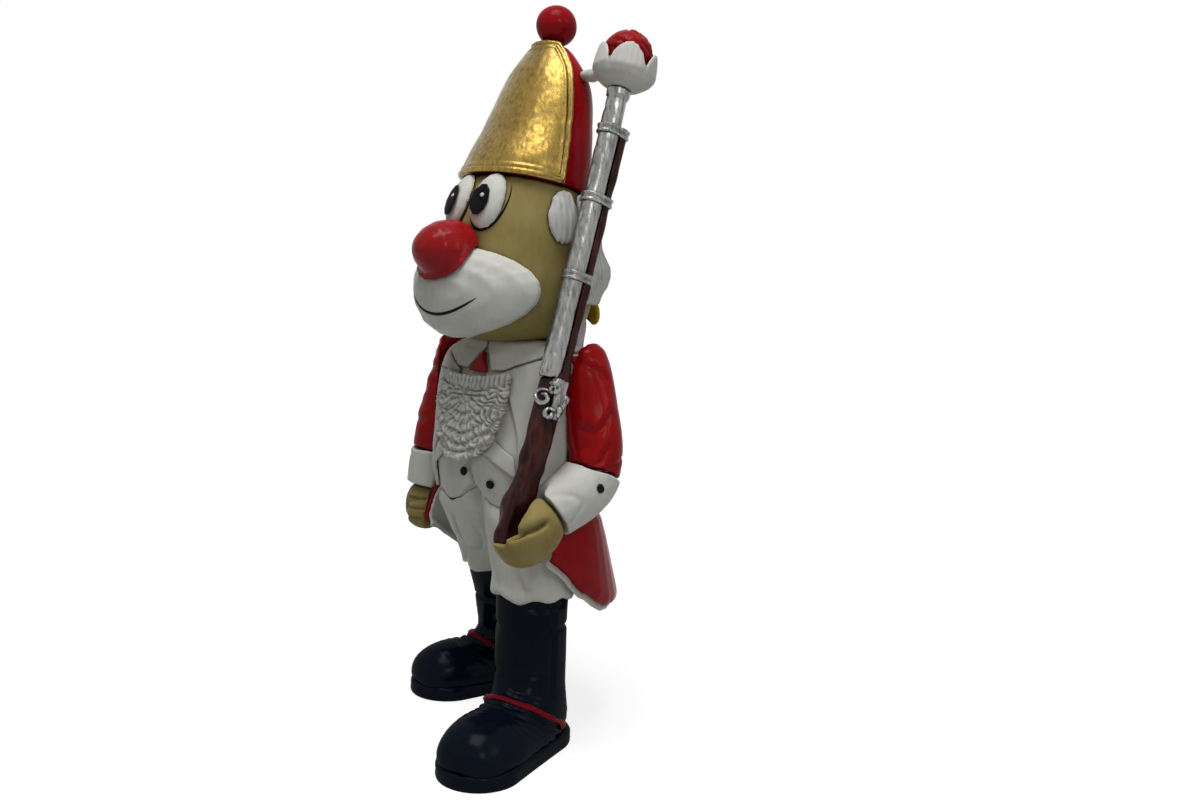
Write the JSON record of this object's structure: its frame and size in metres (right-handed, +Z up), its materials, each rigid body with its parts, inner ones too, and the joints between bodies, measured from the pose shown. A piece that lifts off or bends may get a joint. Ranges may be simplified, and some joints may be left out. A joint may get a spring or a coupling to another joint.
{
  "type": "toy soldier figure",
  "caption": "Standing toy guardsman in a red tail coat, tall gold-fronted cap and black boots, holding a musket upright with a flower in its muzzle.",
  "frame": {"origin": "on the ground plane, at the middle of the figure's footprint, between the two feet", "axes": "+Z up, -Y the way the figure faces, +X towards its left side, which holds the musket"},
  "size_m": [0.103, 0.0958, 0.2518],
  "materials": {
    "white_paint": "off-white satin paint with a grey wash in the creases, on cast resin",
    "red_paint": "deep red glossy paint on cast resin",
    "olive_paint": "olive-tan satin paint on cast resin",
    "boot_paint": "blue-black glossy paint on cast resin",
    "cord_paint": "bright red glossy paint",
    "black_paint": "black glossy paint",
    "gold_leaf": "brushed gold leaf on cast resin",
    "silver_leaf": "silver leaf with dark crevices on cast resin",
    "stock_paint": "streaky burgundy-brown paint on cast resin",
    "yellow_paint": "yellow paint",
    "steel_pin": "plain drawn wire"
  },
  "bodies": {
    "root": {"left_sole": "boot_paint", "right_sole": "boot_paint", "left_boot": "boot_paint", "right_boot": "boot_paint", "left_boot_cord": "cord_paint", "right_boot_cord": "cord_paint", "left_breeches": "white_paint", "right_breeches": "white_paint", "waistcoat": "white_paint", "coat_back": "red_paint", "left_tail": "red_paint", "right_tail": "red_paint", "left_tail_lining": "white_paint", "right_tail_lining": "white_paint", "left_lapel": "white_paint", "right_lapel": "white_paint", "left_belt": "white_paint", "right_belt": "white_paint", "left_collar": "white_paint", "right_collar": "white_paint", "neckcloth": "red_paint", "jabot": "white_paint", "waistcoat_buttons": "black_paint", "lapel_buttons": "black_paint", "cuff_buttons": "black_paint", "left_sleeve": "red_paint", "right_sleeve": "red_paint", "left_cuff": "white_paint", "right_cuff": "white_paint", "left_hand": "olive_paint", "right_hand": "olive_paint", "head": "olive_paint", "mouth_patch": "white_paint", "nose": "red_paint", "left_eye": "white_paint", "right_eye": "white_paint", "pupils": "black_paint", "left_curl": "white_paint", "right_curl": "white_paint", "wig_back": "white_paint", "queue": "white_paint", "queue_bow": "yellow_paint", "cap_crown": "red_paint", "cap_plate": "gold_leaf", "pompom": "red_paint", "musket_stock": "stock_paint", "musket_barrel": "silver_leaf", "barrel_bands": "silver_leaf", "musket_lock": "silver_leaf", "flower_petals": "white_paint", "flower_heart": "red_paint", "leg_pins": "steel_pin", "hip_pins": "steel_pin", "neck_pin": "steel_pin", "cap_pin": "steel_pin", "pompom_pin": "steel_pin", "shoulder_pins": "steel_pin", "wrist_pins": "steel_pin", "flower_pin": "steel_pin"}
  },
  "joints": []
}
